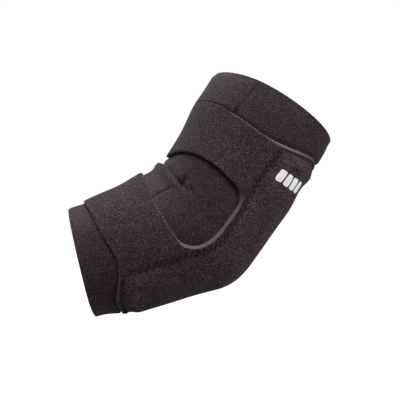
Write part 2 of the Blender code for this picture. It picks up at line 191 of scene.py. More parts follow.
def lower_window(theta):
    corner = LOWER_WINDOW_CORNER * fillet(np.abs(theta), LOWER_CORNER_START, PANEL_EDGE)
    edge = LOWER_WINDOW - LOWER_WINDOW_CURVE * window_curve(theta) - corner
    return edge + (LOWER_TAB[0] - edge) * narrowing(theta)


def pad_thickness(s, theta):
    across = np.cos(np.radians(np.clip((theta - 180) / (180 - PAD_SIDE), -1, 1) * 90)) ** 2
    return PAD_EDGE + (PAD_CROWN - PAD_EDGE) * across * (1 - PAD_FALL * limb_share(s))


def stitch_angle(s):
    """The stitching along the panel's sides swings in towards the strap and out round the window."""
    return PANEL_STITCH - 2.8 * bump(s + 0.056, 0.020) + 3.6 * bump(s + 0.003, 0.028)


def panel_share(s, theta):
    """0 along the panel's stitching, 1 where it lies on the full height of the foam."""
    side = smooth((180 - stitch_angle(s) - 1.0 - np.abs(theta - 180)) / 13)
    top = smooth((s - overlay_top(theta) - 0.0036) / 0.008)
    bottom = smooth((overlay_bottom(theta) - 0.0036 - s) / 0.008)
    return side * top * bottom


# ---------------------------------------------------------------- how the fabric lies
def undulation(s, theta):
    a = np.radians(theta)
    slow = np.sin(2 * math.pi * s / 0.061 + 1.3) * np.cos(2 * a + 0.5)
    quick = np.sin(2 * math.pi * s / 0.034 + 3 * np.cos(a)) * np.cos(3 * a + 1.1)
    return 0.00022 * slow + 0.00014 * quick


def drape(s, theta):
    """Shape that every layer shares: the upper strap draws the crook side in, the fold pushes it out."""
    front = smooth((72 - from_front(theta)) / 72)
    drawn_upper = -0.0030 * smooth((s + 0.075) / 0.035) * (1 - smooth((s + 0.021) / 0.013))
    pushed = 0.0019 * smooth((s + 0.0125) / 0.006) * (1 - smooth((s - 0.004) / 0.036))
    rear = smooth((from_front(theta) - 120) / 45)
    rear_swell = 0.0013 * bump(s - 0.070, 0.006) - 0.0012 * bump(s + 0.068, 0.010)
    return undulation(s, theta) + front * (drawn_upper + pushed) + rear * rear_swell


def cuff_bulge(s, theta):
    """The bare cuffs swell out beside the overlay's edges."""
    a = from_front(theta)
    front, rear = smooth((60 - a) / 60), smooth((a - 110) / 50)
    side = smooth((a - 28) / 25) * (1 - smooth((a - 105) / 25))
    above = (overlay_top(theta) - s) / (0.0030 - 0.0020 * front)
    below = (s - overlay_bottom(theta)) / 0.0008
    towards_rim = 1 - 0.6 * smooth((-0.100 - s) / 0.008)
    upper = (0.0007 + 0.0022 * front + 0.0012 * rear) * smooth(above) * towards_rim
    upper += 0.0011 * rear * bump(s + 0.092, 0.007)
    lower = 0.0003 + 0.0007 * front + 0.0012 * rear * (1 - smooth((s - 0.072) / 0.012))
    lower += 0.0011 * side * bump(below, 14) + 0.0012 * front * smooth((s - 0.072) / 0.012)
    return upper + lower * smooth(below)


def window_bulge(s, theta):
    """The sleeve swells up in the window, beside the upper strap's edge."""
    a = from_front(theta)
    off = s - upper_window(np.clip(theta, STRAP_END, PANEL_EDGE))
    reach = smooth((a - 10) / 16) * (1 - smooth((a - 84) / 12)) * (theta > 0)
    return 0.0013 * reach * smooth(off / 0.0026) * np.exp(-np.maximum(off, 0) / 0.009)


def crook_fold(s, theta):
    """The fold across the crook: a sharp valley, with the forearm side standing up beside it."""
    a = from_front(theta)
    line = -0.0108 + 0.0024 * (a / 40) ** 2
    reach = 1 - smooth((a - 33) / 14)
    off = s - line
    valley = np.where(off > 0, np.exp(-off / 0.0006), np.exp(off / 0.0020))
    crest = (1 - smooth((a - 26) / 9)) * 0.0008 * bump(off - 0.0016, 0.0009)
    return reach * (0.0006 * bump(off - 0.0045, 0.0035) - 0.0030 * valley) + crest


def crook_hollow(s, theta):
    """Creases where the fold runs out at the seam: one along the fold, one along the seam, one past it."""
    a = from_front(theta)
    along_fold = np.hypot((a - 51.0) / 8.0, (s + 0.0078) / 0.0019)
    along_seam = np.hypot((a - 53.0) / 3.0, (s + 0.0112) / 0.0036)
    past_seam = np.hypot((a - 64.0) / 1.8, (s + 0.0110) / 0.0015)
    return -0.0024 * bump(along_fold, 1) - 0.0018 * bump(along_seam, 1) - 0.0016 * bump(past_seam, 1)


def seam_depth(s, theta):
    """The seam is pulled in at the crook and beside the upper strap, and nearly flat elsewhere."""
    crook = smooth((s + 0.004) / 0.006) * (1 - smooth((s - 0.022) / 0.006))
    strap = bump(overlay_top(theta) - s - 0.003, 0.005)
    return 0.00003 + 0.0009 * crook + 0.0018 * strap


def sleeve_lift(s, theta):
    seam = (from_front(theta) - seam_angle(s)) * M_PER_DEGREE
    groove = -seam_depth(s, theta) * bump(seam, 0.0008)
    bulge = cuff_bulge(s, theta) + window_bulge(s, theta)
    return drape(s, theta) + bulge + groove + crook_fold(s, theta) + crook_hollow(s, theta)


SWELL_ROWS, SWELL_COLUMNS, SWELL_LIMIT, SWELL_FRAMES = 71, 61, 0.0008, 20
swell_map = np.zeros((SWELL_ROWS, SWELL_COLUMNS))


def swell(s, theta):
    """How far the panel swells over its foam, read from the map the cloth simulation fills."""
    top, bottom = overlay_top(theta) + END_STITCH, overlay_bottom(theta) - END_STITCH
    v = (s - top) / (bottom - top) * (SWELL_ROWS - 1)
    u = (theta - stitch_angle(s)) / (360 - 2 * stitch_angle(s)) * (SWELL_COLUMNS - 1)
    inside = (u >= 0) & (u <= SWELL_COLUMNS - 1) & (v >= 0) & (v <= SWELL_ROWS - 1)
    i = np.clip(np.floor(v).astype(int), 0, SWELL_ROWS - 2)
    j = np.clip(np.floor(u).astype(int), 0, SWELL_COLUMNS - 2)
    fv, fu = np.clip(v - i, 0, 1), np.clip(u - j, 0, 1)
    near = swell_map[i, j] * (1 - fu) + swell_map[i, j + 1] * fu
    far = swell_map[i + 1, j] * (1 - fu) + swell_map[i + 1, j + 1] * fu
    return np.where(inside, near * (1 - fv) + far * fv, 0)


def stitch_distance(s, theta):
    """Distance in metres from the panel's line of stitching."""
    a = from_front(theta)
    side = np.abs(a - stitch_angle(s)) * M_PER_DEGREE
    inside = a >= stitch_angle(s)
    top = np.where(inside, np.abs(s - overlay_top(theta) - END_STITCH), 1.0)
    bottom = np.where(inside, np.abs(overlay_bottom(theta) - END_STITCH - s), 1.0)
    return np.minimum(side, np.minimum(top, bottom))


def pocket(s, theta):
    """Height of the panel's underside over the sleeve, on top of the gap between them."""
    return (pad_thickness(s, theta) + GAP) * panel_share(s, theta) * (theta > PANEL_EDGE) + swell(s, theta)


def overlay_under(s, theta):
    """Height of the overlay's underside over the sleeve."""
    window = np.maximum(0, upper_window(np.clip(theta, STRAP_END, PANEL_EDGE)) - s)
    stand = 0.0006 * np.exp(-window / 0.006) * smooth((96 - from_front(theta)) / 25) * smooth(theta / 25)
    on_strap = (theta <= PANEL_EDGE) & (s < 0)
    return GAP + drape(s, theta) + np.where(on_strap, stand, 0) + pocket(s, theta)


def overlay_thickness(s, theta):
    return OVERLAY_THICKNESS - 0.0001 * bump(stitch_distance(s, theta), 0.0022)


def overlay_outside(s, theta):
    return overlay_under(s, theta) + overlay_thickness(s, theta)


# ---------------------------------------------------------------- mesh helpers
def make_mesh(name, points, faces, finishes, face_finish=None, uv=None, sharp=38):
    """A mesh object in the row frame. Its "rest" attribute keeps each point's place, in millimetres."""
    mesh = bpy.data.meshes.new(name)
    mesh.from_pydata([tuple(p) for p in points], [], [tuple(int(i) for i in f) for f in faces])
    for finish in finishes:
        mesh.materials.append(finish)
    if face_finish is not None:
        mesh.polygons.foreach_set("material_index", np.asarray(face_finish, np.int32))
    rest = mesh.attributes.new("rest", "FLOAT_VECTOR", "POINT")
    rest.data.foreach_set("vector", ((np.asarray(points) - ELBOW) * 1000).astype(np.float32).ravel())
    if uv is not None:
        layer = mesh.uv_layers.new(name="Fabric")
        corner = np.zeros(len(mesh.loops), np.int32)
        mesh.loops.foreach_get("vertex_index", corner)
        layer.data.foreach_set("uv", np.asarray(uv, np.float32)[corner].ravel())
    mesh.update()
    mesh.shade_smooth()
    mesh.set_sharp_from_angle(angle=math.radians(sharp))
    obj = bpy.data.objects.new(name, mesh)
    bpy.context.scene.collection.objects.link(obj)
    return obj


def grid_quads(rows, columns, offset=0, closed=False):
    """Quads over a rows x columns array whose rows run along s and columns along theta."""
    last = columns if closed else columns - 1
    quads = []
    for i in range(rows - 1):
        for j in range(last):
            k = (j + 1) % columns
            quads.append((i * columns + j, (i + 1) * columns + j, (i + 1) * columns + k, i * columns + k))
    return np.array(quads) + offset


def border_edges(quads):
    directed = {}
    for quad in quads:
        for a, b in zip(quad, np.roll(quad, -1)):
            directed[(int(a), int(b))] = True
    return [(a, b) for a, b in directed if (b, a) not in directed]


def shell(name, outside, inside, quads, finishes, uv, sharp=38):
    """A closed piece of cloth from its two faces. finishes: outside, inside, cut edge."""
    count = len(outside)
    edges = border_edges(quads)
    walls = [(b, a, a + count, b + count) for a, b in edges]
    faces = list(map(tuple, quads)) + [tuple(q[::-1]) for q in quads + count] + walls
    kinds = [0] * len(quads) + [1] * len(quads) + [2] * len(walls)
    both = np.concatenate([uv, uv])
    return make_mesh(name, np.concatenate([outside, inside]), faces, finishes, kinds, both, sharp)


def tube(name, line, radius, finish, closed=True, sides=6):
    """A thread along a line of points, with its length in millimetres as the map's first coordinate."""
    line = np.asarray(line)
    ahead = np.roll(line, -1, axis=0) - np.roll(line, 1, axis=0)
    if not closed:
        ahead[0], ahead[-1] = line[1] - line[0], line[-1] - line[-2]
    ahead /= np.linalg.norm(ahead, axis=1, keepdims=True)
    up = line - ELBOW
    up -= ahead * (up * ahead).sum(1, keepdims=True)
    up /= np.linalg.norm(up, axis=1, keepdims=True)
    across = np.cross(ahead, up)
    turn = 2 * math.pi * np.arange(sides) / sides
    circle = np.cos(turn)[None, :, None] * across[:, None] + np.sin(turn)[None, :, None] * up[:, None]
    points = (line[:, None] + radius * circle).reshape(-1, 3)
    count = len(line)
    faces = []
    for i in range(count if closed else count - 1):
        k = (i + 1) % count
        for j in range(sides):
            m = (j + 1) % sides
            faces.append((i * sides + j, i * sides + m, k * sides + m, k * sides + j))
    if not closed:
        faces.append(tuple(range(sides))[::-1])
        faces.append(tuple((count - 1) * sides + j for j in range(sides)))
    step = np.linalg.norm(np.diff(line, axis=0, prepend=line[:1]), axis=1).cumsum() * 1000
    uv = np.stack([np.repeat(step, sides), np.tile(turn, count)], 1)
    return make_mesh(name, points, faces, [finish], None, uv, 180)


def fabric_uv(s, theta):
    return np.stack([np.ravel(theta) * MM_PER_DEGREE, np.ravel(s) * 1000], 1)


# ---------------------------------------------------------------- materials
class Nodes:
    """Short hands for building one node material."""

    def __init__(self, name):
        self.material = bpy.data.materials.new(name)
        self.material.use_nodes = True
        self.tree = self.material.node_tree
        self.shader = self.tree.nodes["Principled BSDF"]

    def add(self, kind, inputs=(), **settings):
        node = self.tree.nodes.new(kind)
        for key, value in settings.items():
            setattr(node, key, value)
        for key, value in dict(inputs).items():
            self.feed(node.inputs[key], value)
        return node

    def feed(self, socket, value):
        if isinstance(value, bpy.types.NodeSocket):
            self.tree.links.new(value, socket)
        else:
            socket.default_value = value

    def maths(self, operation, *values):
        node = self.add("ShaderNodeMath", operation=operation)
        for socket, value in zip(node.inputs, values):
            self.feed(socket, value)
        return node.outputs[0]

    def mix(self, factor, a, b):
        node = self.add("ShaderNodeMix", data_type="RGBA")
        self.feed(node.inputs["Factor"], factor)
        self.feed(node.inputs["A"], a)
        self.feed(node.inputs["B"], b)
        return node.outputs["Result"]

    def span(self, value, low, high, to_low=0.0, to_high=1.0):
        inputs = {"Value": value, "From Min": low, "From Max": high, "To Min": to_low, "To Max": to_high}
        return self.add("ShaderNodeMapRange", inputs).outputs["Result"]

    def rest(self):
        return self.add("ShaderNodeAttribute", attribute_name="rest").outputs["Vector"]

    def noise(self, vector, scale, detail=2.0, roughness=0.5):
        inputs = {"Vector": vector, "Scale": scale, "Detail": detail, "Roughness": roughness}
        return self.add("ShaderNodeTexNoise", inputs).outputs["Fac"]

    def fabric_map(self):
        """The map's two coordinates, in millimetres."""
        uv = self.add("ShaderNodeUVMap", uv_map="Fabric").outputs["UV"]
        parts = self.add("ShaderNodeSeparateXYZ", {"Vector": uv})
        return parts.outputs["X"], parts.outputs["Y"]

    def bump(self, strength, distance, height):
        inputs = {"Strength": strength, "Distance": distance, "Height": height}
        return self.add("ShaderNodeBump", inputs).outputs["Normal"]

    def set(self, **values):
        names = {
            "color": "Base Color", "rough": "Roughness", "normal": "Normal",
            "sheen": "Sheen Weight", "fuzz": "Sheen Roughness", "tint": "Sheen Tint",
            "spec": "Specular IOR Level", "shine": "Specular Tint",
        }
        for key, value in values.items():
            self.feed(self.shader.inputs[names[key]], value)


def knit_height(n, wale=0.95, course=0.75):
    """Height of a plain knit: columns of V shaped loops, from the map in millimetres."""
    round_arm, along_arm = n.fabric_map()
    across = n.maths("MULTIPLY", round_arm, 1 / wale)
    along = n.maths("MULTIPLY", along_arm, 1 / course)
    inside = n.maths("ABSOLUTE", n.maths("SUBTRACT", n.maths("FRACT", across), 0.5))
    slope = n.maths("MULTIPLY_ADD", inside, 1.1, along)
    loops = n.maths("SINE", n.maths("MULTIPLY", slope, 2 * math.pi))
    groove = n.maths("SUBTRACT", 1.0, n.maths("POWER", n.maths("MULTIPLY", inside, 2.0), 3.0))
    return n.maths("MULTIPLY", n.maths("MULTIPLY_ADD", loops, 0.5, 0.5), groove)


def knit_fabric(name, dark, light, fleck, sheen, wale=0.95, gloss=0.25, smoothness=0.0, panel=0.0):
    """Brushed knit bonded to foam: a fine knit with painted shade in its grooves, felted fibre flecks and
    slow changes of tone at random.

    On the panel over the back of the arm the flecks, and the sheen that follows them, are raised by the
    share panel: painted light, which makes the panel brighter as if more light fell on it.
    """
    n = Nodes(name)
    rest = n.rest()
    knit = knit_height(n, wale)
    grain = n.noise(rest, 1.15, 3.0, 0.7)
    fibres = n.span(grain, 0.44, 0.66)
    cloud = n.span(n.noise(rest, 0.045, 3.0, 0.6), 0.3, 0.7)
    patch = n.span(n.noise(rest, 0.35, 2.0, 0.5), 0.35, 0.65)
    base = n.mix(n.maths("MULTIPLY_ADD", cloud, 0.55, n.maths("MULTIPLY", patch, 0.35)), dark, light)
    # Painted shade: the knit's grooves are darkened in colour, towards 0.45 of the dark tone.
    groove = n.maths("MULTIPLY", n.maths("SUBTRACT", 1.0, knit), 0.35)
    base = n.mix(groove, base, tuple(c * 0.45 for c in dark[:3]) + (1,))
    sparkle = n.span(n.noise(rest, 1.45, 1.0, 0.5), 0.585, 0.69)
    from_back = n.maths("ABSOLUTE", n.maths("SUBTRACT", n.fabric_map()[0], 180 * MM_PER_DEGREE))
    # Painted light: the panel gets more flecks and more sheen, standing in for light falling on it.
    panel_painted_light = n.span(from_back, 60, 54, 0.0, panel)
    spread = n.maths("MAXIMUM", n.maths("MULTIPLY", fibres, 0.42), sparkle)
    spread = n.maths("MULTIPLY", spread, n.maths("ADD", panel_painted_light, 0.90))
    color = n.mix(spread, base, fleck)
    height = n.maths("ADD", n.maths("MULTIPLY", knit, 0.16), n.maths("MULTIPLY", grain, 0.30))
    normal = n.bump(0.6, 0.0009, height)
    rough = n.span(grain, 0.3, 0.7, 0.95 - smoothness, 0.78 - smoothness)
    nap = n.maths("MULTIPLY_ADD", spread, 1.6 * sheen, 0.35 * sheen)
    n.set(color=color, rough=rough, normal=normal)
    n.set(sheen=nap, fuzz=0.45, tint=(1.0, 0.83, 0.89, 1.0), spec=gloss, shine=(1.0, 0.74, 0.82, 1.0))
    return n.material


def foam_material(name, dark, light, strength=0.5):
    """Cut neoprene foam: small closed cells, with painted shade in their pits, so a little paler on the
    crests.
    """
    n = Nodes(name)
    rest = n.rest()
    cells = n.add("ShaderNodeTexVoronoi", {"Vector": rest, "Scale": 2.6}).outputs["Distance"]
    cloud = n.noise(rest, 0.5, 3.0, 0.6)
    cell_height_and_pit_shade = n.span(cells, 0.05, 0.5)
    # Painted shade: the cells' pits are darker in colour, following the same heights as the bump.
    color = n.mix(n.maths("MULTIPLY", cell_height_and_pit_shade, n.span(cloud, 0.3, 0.7, 0.55, 1.0)), dark, light)
    height = n.maths("MULTIPLY", cell_height_and_pit_shade, 0.25)
    normal = n.bump(strength, 0.0008, height)
    n.set(color=color, rough=0.9, sheen=0.1, fuzz=0.5, tint=(1, 1, 1, 1), spec=0.2, normal=normal)
    return n.material


def thread_material(name, dark, light):
    """Twisted polyester: a slanting ply along the thread, with painted shade in the grooves between its
    strands.
    """
    n = Nodes(name)
    along, round_thread = n.fabric_map()
    twist = n.maths("MULTIPLY", along, 2 * math.pi / 0.7)
    twist = n.maths("ADD", twist, n.maths("MULTIPLY", round_thread, 2.0))
    ply = n.maths("MULTIPLY_ADD", n.maths("SINE", twist), 0.5, 0.5)
    worn = n.span(n.noise(n.rest(), 0.6, 2.0), 0.35, 0.7)
    # Painted shade: the thread is darker in colour in the grooves of its twist, where the bump is low.
    color = n.mix(n.maths("MULTIPLY", ply, n.maths("MULTIPLY_ADD", worn, 0.5, 0.4)), dark, light)
    normal = n.bump(0.6, 0.0003, ply)
    rough = n.span(ply, 0, 1, 0.75, 0.5)
    n.set(color=color, rough=rough, sheen=0.15, fuzz=0.4, tint=(1, 1, 1, 1), spec=0.35, normal=normal)
    return n.material


def loop_material(name, dark, light):
    """Napped loop pile: fine tangled fibres, with a painted highlight on the tufts and painted shade between
    them.
    """
    n = Nodes(name)
    rest = n.rest()
    pile = n.noise(rest, 1.7, 6.0, 0.8)
    clump = n.noise(rest, 0.28, 3.0, 0.6)
    # Painted light and shade: the pile is lighter where it stands high and darker in the gaps, following the
    # bump.
    tuft_light_and_shade = n.maths("MULTIPLY", n.span(pile, 0.35, 0.7), n.span(clump, 0.3, 0.7, 0.5, 1.0))
    color = n.mix(tuft_light_and_shade, dark, light)
    height = n.maths("ADD", pile, n.maths("MULTIPLY", clump, 0.7))
    n.set(color=color, rough=0.95, sheen=0.6, fuzz=0.55, tint=(1.0, 0.93, 0.95, 1.0), spec=0.15)
    n.set(normal=n.bump(0.9, 0.0010, height))
    return n.material


def hook_material(name, dark, light):
    """Moulded nylon hook tape: harder and glossier than the cloth, with a ribbed ground that has painted
    shade in its valleys.
    """
    n = Nodes(name)
    wave = n.maths("SINE", n.maths("MULTIPLY", n.fabric_map()[0], 2 * math.pi / 0.7))
    rib_height_and_shade = n.maths("MULTIPLY_ADD", wave, 0.5, 0.5)
    haze = n.span(n.noise(n.rest(), 0.25, 3.0), 0.3, 0.7)
    # Painted shade: the ribs' valleys are darker in colour, following the same heights as the bump.
    color = n.mix(n.maths("MULTIPLY", rib_height_and_shade, n.maths("MULTIPLY_ADD", haze, 0.5, 0.4)), dark, light)
    normal = n.bump(0.5, 0.0004, rib_height_and_shade)
    n.set(color=color, rough=n.span(haze, 0, 1, 0.38, 0.55), sheen=0.0, spec=0.5, normal=normal)
    return n.material


def print_material(name, ink, cloth):
    """Screen-printed ink: it sits on the knit's crests and is thin in its grooves, and it has a painted
    glow: it gives off its own colour as light, though it is no lamp.
    """
    n = Nodes(name)
    rest = n.rest()
    knit = knit_height(n)
    thin = n.span(n.noise(rest, 1.4, 3.0, 0.6), 0.60, 0.74)
    groove = n.maths("MULTIPLY", n.maths("SUBTRACT", 1.0, knit), 0.10)
    wear = n.maths("MAXIMUM", n.maths("MULTIPLY", thin, 0.5), groove)
    color = n.mix(wear, ink, cloth)
    n.set(color=color, rough=0.6, sheen=0.0, spec=0.4, normal=n.bump(0.3, 0.0005, knit))
    # Painted light: the ink glows with its own colour, so it reads brighter than the light on it.
    n.feed(n.shader.inputs["Emission Color"], color)
    n.feed(n.shader.inputs["Emission Strength"], 0.42)
    return n.material


SLEEVE = knit_fabric(
    "sleeve_knit", (0.0120, 0.0078, 0.0092, 1), (0.023, 0.0155, 0.0179, 1), (0.165, 0.117, 0.134, 1),
    sheen=0.26, gloss=0.30, smoothness=0.24,
)
OVERLAY = knit_fabric(
    "overlay_knit", (0.0180, 0.0123, 0.0143, 1), (0.034, 0.0243, 0.0277, 1), (0.225, 0.165, 0.186, 1),
    sheen=0.15, panel=0.62,
)
LINING = knit_fabric(
    "lining_knit", (0.016, 0.0135, 0.0145, 1), (0.027, 0.0235, 0.025, 1), (0.07, 0.06, 0.064, 1),
    sheen=0.1,
)
TAB_CLOTH = knit_fabric(
    "tab_knit", (0.0150, 0.0105, 0.0121, 1), (0.029, 0.0210, 0.0238, 1), (0.140, 0.104, 0.117, 1),
    sheen=0.15, wale=0.7,
)
CUT_FOAM = foam_material("cut_foam", (0.072, 0.056, 0.062, 1), (0.225, 0.181, 0.197, 1))
PAD_FOAM = foam_material("pad_foam", (0.10, 0.09, 0.095, 1), (0.30, 0.27, 0.285, 1), 0.7)
THREAD = thread_material("black_thread", (0.006, 0.0045, 0.0050, 1), (0.024, 0.0185, 0.0203, 1))
SEAM_THREAD = thread_material("seam_thread", (0.022, 0.0150, 0.0175, 1), (0.085, 0.0600, 0.0680, 1))
LOOPS = loop_material("loop_pile", (0.014, 0.0108, 0.0119, 1), (0.066, 0.0520, 0.0570, 1))
HOOKS = hook_material("hook_tape", (0.012, 0.011, 0.012, 1), (0.040, 0.038, 0.040, 1))
INK = print_material("white_print", (0.92, 0.92, 0.92, 1), (0.10, 0.09, 0.095, 1))


# ---------------------------------------------------------------- inner sleeve
def build_sleeve():
    columns = 240
    theta = np.arange(columns) * 360.0 / columns
    places = [-UPPER_LENGTH, -0.094, -0.070, -0.040, -0.022, 0.014, 0.060, 0.078, FOREARM_LENGTH]
    steps = [0.0014, 0.0006, 0.0014, 0.0009, 0.0006, 0.0014, 0.0006, 0.0014]
    rows = [np.linspace(a, b, round((b - a) / step), endpoint=False)
            for a, b, step in zip(places, places[1:], steps)]
    s = np.concatenate(rows + [[FOREARM_LENGTH]])
    s, theta = np.meshgrid(s, theta, indexing="ij")
    a = from_front(theta)
    s = s + (0.0019 - 0.0027 * smooth((a - 5) / 60)) * smooth((-0.096 - s) / 0.0115)
    s = s + 0.0011 * bump(a - 135, 38) * smooth((s - 0.076) / 0.010)
    lift = sleeve_lift(s, theta)
    soft = drape(s, theta) + cuff_bulge(s, theta) + 0.6 * crook_fold(s, theta)
    outside = lifted(s, theta, lift).reshape(-1, 3)
    inside = lifted(s, theta, soft - SLEEVE_THICKNESS).reshape(-1, 3)
    quads = grid_quads(*s.shape, closed=True)
    obj = shell("inner_sleeve", outside, inside, quads, [SLEEVE, LINING, CUT_FOAM], fabric_uv(s, theta))
    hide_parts("upper_sleeve_front", "upper_sleeve_back", "elbow_sleeve_front", "elbow_sleeve_back",
                "forearm_sleeve_front", "forearm_sleeve_back")
    return obj


def build_seam(name, sign):
    """Flatlock stitching over a butt seam of the sleeve."""
    step = 0.0012
    s = np.arange(-UPPER_LENGTH + 0.0015, FOREARM_LENGTH - 0.0015, step / 3)
    phase = np.arange(len(s)) / 3
    swing = 2 * np.abs((phase / 2) % 1 - 0.5) * 2 - 1
    theta = sign * seam_angle(s) + swing * SEAM_HALF_WIDTH
    lift = sleeve_lift(s, theta) + 0.00012 * (1 - np.abs(swing))
    line = lifted(s, theta, lift)
    obj = tube(name + "_stitching", line, SEAM_THREAD_RADIUS, SEAM_THREAD, closed=False, sides=5)
    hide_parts(name)
    return obj


# ---------------------------------------------------------------- overlay: panel and straps in one
def edge_spaced(count, bias=0.55):
    """0 to 1 in steps that are shorter towards both ends."""
    even = np.linspace(0, 1, count)
    return (1 - bias) * even + bias * (1 - np.cos(math.pi * even)) / 2


def overlay_layout():
    """Nodes (s, theta) and quads of the overlay's one flat piece."""
    strap = np.linspace(STRAP_END, 84.0, 92)
    corner = 84.0 + (PANEL_EDGE - 84.0) * np.sin(np.linspace(0, math.pi / 2, 19))[1:]
    strap = np.concatenate([strap, corner])
    share = edge_spaced(80, 0.3)[:, None]
    upper = overlay_top(strap) + (upper_window(strap) - overlay_top(strap)) * share
    lower = lower_window(strap) + (overlay_bottom(strap) - lower_window(strap)) * share
    lip = [0, 0.35, 0.8, 1.3, 1.9, 2.5, 3.1, 3.7, 4.3, 4.9, 5.6, 6.4, 7.3, 8.3, 9.4, 10.6]
    lip = PANEL_EDGE + np.array(lip)
    inner = np.linspace(lip[-1] + 1.3, 360 - lip[-1] - 1.3, 84)
    panel = np.concatenate([lip, inner, 360 - lip[::-1]])
    window = np.linspace(upper[-1, -1], lower[0, -1], 54)[1:-1]
    first = np.concatenate([upper[:, -1], window, lower[:, -1]])
    share = (first - first[0]) / (first[-1] - first[0])
    body = overlay_top(panel) + (overlay_bottom(panel) - overlay_top(panel)) * share[:, None]
    patches = [(upper, strap), (lower, strap), (body, panel)]
    keys, nodes, quads = {}, [], []
    for s, theta in patches:
        theta = theta + 0 * s
        index = np.zeros(s.shape, int)
        for place in np.ndindex(s.shape):
            key = (round(s[place] * 1e7), round(theta[place] * 1e4))
            if key not in keys:
                keys[key] = len(nodes)
                nodes.append((s[place], theta[place]))
            index[place] = keys[key]
        local = grid_quads(*s.shape)
        quads.append(index.ravel()[local])
    nodes = np.array(nodes)
    return nodes[:, 0], nodes[:, 1], np.concatenate(quads)


def edge_slant(s, theta, away):
    """How far the cut face leans back, in millimetres, at a point of the edge that faces away.

    The face is undercut over the front of the arm and skived where the panel begins.
    """
    a = from_front(theta)
    window = (s > -0.045) & (s < 0.030) & (theta > 0) & (theta < 140)
    to_front = np.clip(-away[:, 0], 0, 1)
    plain = np.where(s > 0, -0.1 + 0.45 * smooth((a - 36) / 20), -0.15)
    lip = plain + (1.65 - plain) * smooth((to_front - 0.1) / 0.6)
    top = -0.4 + 1.2 * smooth((a - 46) / 12) + 0.8 * smooth((a - 90) / 10)
    bottom = -0.6 + 1.0 * smooth((a - 68) / 12) + 0.5 * smooth((a - 82) / 12)
    ends = np.where(away[:, 1] < -0.3, top, np.where(away[:, 1] > 0.3, bottom, 0.2))
    return np.where(window, lip, ends)


def lean_back(s, theta, quads):
    """The outside face's nodes, drawn back from the cut edges, and each node's distance to an edge."""
    flat = np.stack([theta * MM_PER_DEGREE, s * 1000], 1)
    edges = np.array(border_edges(quads))
    middle = (flat[edges[:, 0]] + flat[edges[:, 1]]) / 2
    along = flat[edges[:, 1]] - flat[edges[:, 0]]
    away = np.stack([along[:, 1], -along[:, 0]], 1)
    centre = {}
    for quad in quads:
        for a, b in zip(quad, np.roll(quad, -1)):
            centre[(int(a), int(b))] = flat[quad].mean(0)
    inner = np.array([centre[(int(a), int(b))] for a, b in edges])
    away *= np.sign(((middle - inner) * away).sum(1))[:, None]
    rim = {}
    for (a, b), direction in zip(edges, away):
        for node in (int(a), int(b)):
            rim[node] = rim.get(node, 0) + direction
    nodes = np.array(list(rim))
    away = np.array(list(rim.values()))
    away /= np.linalg.norm(away, axis=1, keepdims=True) + 1e-9
    amount = edge_slant(s[nodes], theta[nodes], away)
    shift, distance = np.zeros_like(flat), np.full(len(flat), 99.0)
    for start in range(0, len(flat), 2000):
        block = flat[start:start + 2000]
        apart = np.linalg.norm(block[:, None] - flat[nodes][None], axis=2)
        nearest = apart.argmin(1)
        distance[start:start + 2000] = apart[np.arange(len(block)), nearest]
        fade = np.clip(1 - distance[start:start + 2000] / 7.0, 0, 1)[:, None] ** 1.5
        shift[start:start + 2000] = -away[nearest] * amount[nearest][:, None] * fade
    moved = flat + shift
    return moved[:, 1] / 1000, moved[:, 0] / MM_PER_DEGREE, distance


def zigzag_points(path, pitch, swing_at):
    """A zigzag along a closed path of (s, theta): its places, and how near each is to a needle hole."""
    per_leg = 4
    path = np.array(path + path[:1])
    flat = np.stack([path[:, 1] * MM_PER_DEGREE, path[:, 0] * 1000], 1)
    length = np.concatenate([[0], np.linalg.norm(np.diff(flat, axis=0), axis=1).cumsum()])
    legs = 2 * max(2, round(length[-1] / pitch))
    at = np.arange(legs * per_leg) / (legs * per_leg) * length[-1]
    x, y = np.interp(at, length, flat[:, 0]), np.interp(at, length, flat[:, 1])
    ahead = np.stack([np.roll(x, -2) - np.roll(x, 2), np.roll(y, -2) - np.roll(y, 2)], 1)
    ahead /= np.linalg.norm(ahead, axis=1, keepdims=True)
    leg = np.arange(legs * per_leg) / per_leg
    side = 4 * np.abs((leg / 2) % 1 - 0.5) - 1
    swing = side * swing_at(y / 1000, x / MM_PER_DEGREE)
    x, y = x + ahead[:, 1] * swing, y - ahead[:, 0] * swing
    return y / 1000, x / MM_PER_DEGREE, np.abs(side)


def panel_swing(s, theta):
    """Half the width of the panel's zigzag, in millimetres: wide along the sides, narrow at the ends."""
    inside = np.minimum(s - overlay_top(theta), overlay_bottom(theta) - s) - END_STITCH
    return END_SWING_MM + (SIDE_SWING_MM - END_SWING_MM) * smooth((inside - 0.0010) / 0.006)


def panel_path():
    """The panel's stitching line, once round."""
    ends = np.linspace(PANEL_STITCH + 2, 358 - PANEL_STITCH, 60)
    top = [(float(overlay_top(a)) + END_STITCH, a) for a in ends]
    bottom = [(float(overlay_bottom(a)) - END_STITCH, a) for a in ends]
    first = float(overlay_top(PANEL_STITCH)) + END_STITCH + 0.002
    last = float(overlay_bottom(PANEL_STITCH)) - END_STITCH - 0.002
    sides = np.linspace(first, last, 40)
    near = [(s, float(stitch_angle(s))) for s in sides]
    far = [(s, 360 - angle) for s, angle in near[::-1]]
    return near + bottom + far + top[::-1]


